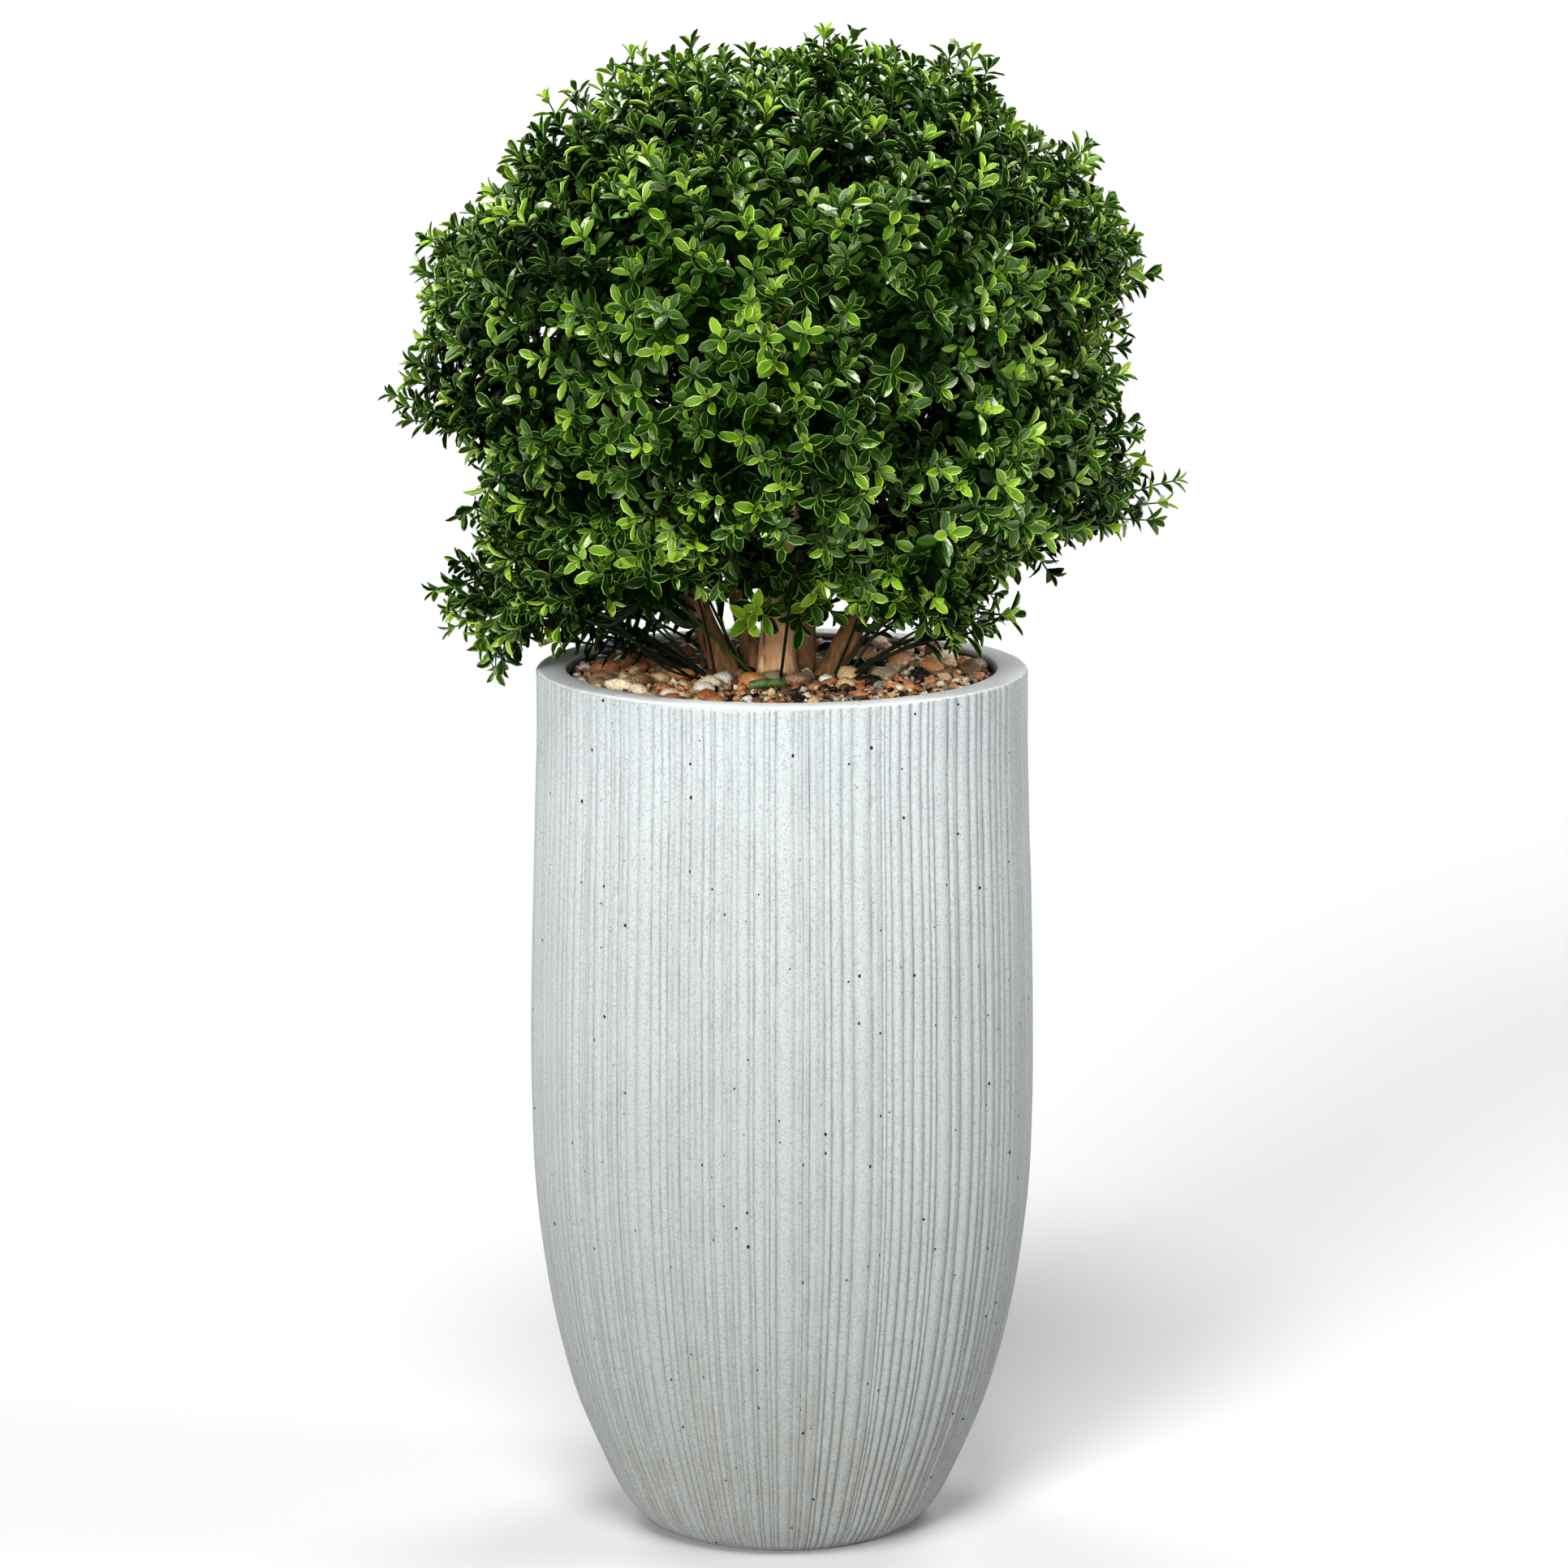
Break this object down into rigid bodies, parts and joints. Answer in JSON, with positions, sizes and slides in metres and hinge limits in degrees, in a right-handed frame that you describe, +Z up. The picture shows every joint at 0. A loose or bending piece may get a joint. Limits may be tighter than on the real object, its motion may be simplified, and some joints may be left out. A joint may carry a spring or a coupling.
{
  "type": "artificial boxwood ball in a tall planter",
  "caption": "Clipped ball of artificial boxwood on natural wood stems, standing in a tall ribbed off-white planter topped with river gravel.",
  "frame": {"origin": "centre of the planter's flat underside", "axes": "+Z up along the planter's axis, +X to the right seen from the front, the front faces -Y"},
  "size_m": [0.7505, 0.6923, 1.3999],
  "materials": {
    "fibre_stone": "matt, finely grained off-white cast stone",
    "river_gravel": "mixed brown, tan and grey river gravel",
    "light_filling": "light foam filling, out of sight",
    "stem_wood": "bare natural wood with fine cracks",
    "branch_green": "dark green moulded plastic",
    "leaf_green": "glossy green plastic leaves"
  },
  "bodies": {
    "root": {"planter": "fibre_stone", "filling": "light_filling", "gravel_bed": "river_gravel", "stem_centre": "stem_wood", "stem_back": "stem_wood", "stem_left": "stem_wood", "stem_right": "stem_wood", "stem_rear_left": "stem_wood", "branch_upper_right": "branch_green", "branch_upper_back": "branch_green", "branch_upper_left": "branch_green", "branch_upper_front_left": "branch_green", "branch_upper_front_right": "branch_green", "branch_middle_back_right": "branch_green", "branch_middle_back": "branch_green", "branch_middle_back_left": "branch_green", "branch_middle_front_left": "branch_green", "branch_middle_front": "branch_green", "branch_middle_front_right": "branch_green", "branch_lower_right": "branch_green", "branch_lower_back_right": "branch_green", "branch_lower_back_left": "branch_green", "branch_lower_left": "branch_green", "branch_lower_front_left": "branch_green", "branch_lower_front_right": "branch_green", "mass_top": "leaf_green", "mass_upper_right": "leaf_green", "mass_upper_back": "leaf_green", "mass_upper_left": "leaf_green", "mass_upper_front_left": "leaf_green", "mass_upper_front_right": "leaf_green", "mass_middle_back_right": "leaf_green", "mass_middle_back": "leaf_green", "mass_middle_back_left": "leaf_green", "mass_middle_front_left": "leaf_green", "mass_middle_front": "leaf_green", "mass_middle_front_right": "leaf_green", "mass_lower_right": "leaf_green", "mass_lower_back_right": "leaf_green", "mass_lower_back_left": "leaf_green", "mass_lower_left": "leaf_green", "mass_lower_front_left": "leaf_green", "mass_lower_front_right": "leaf_green"}
  },
  "joints": []
}
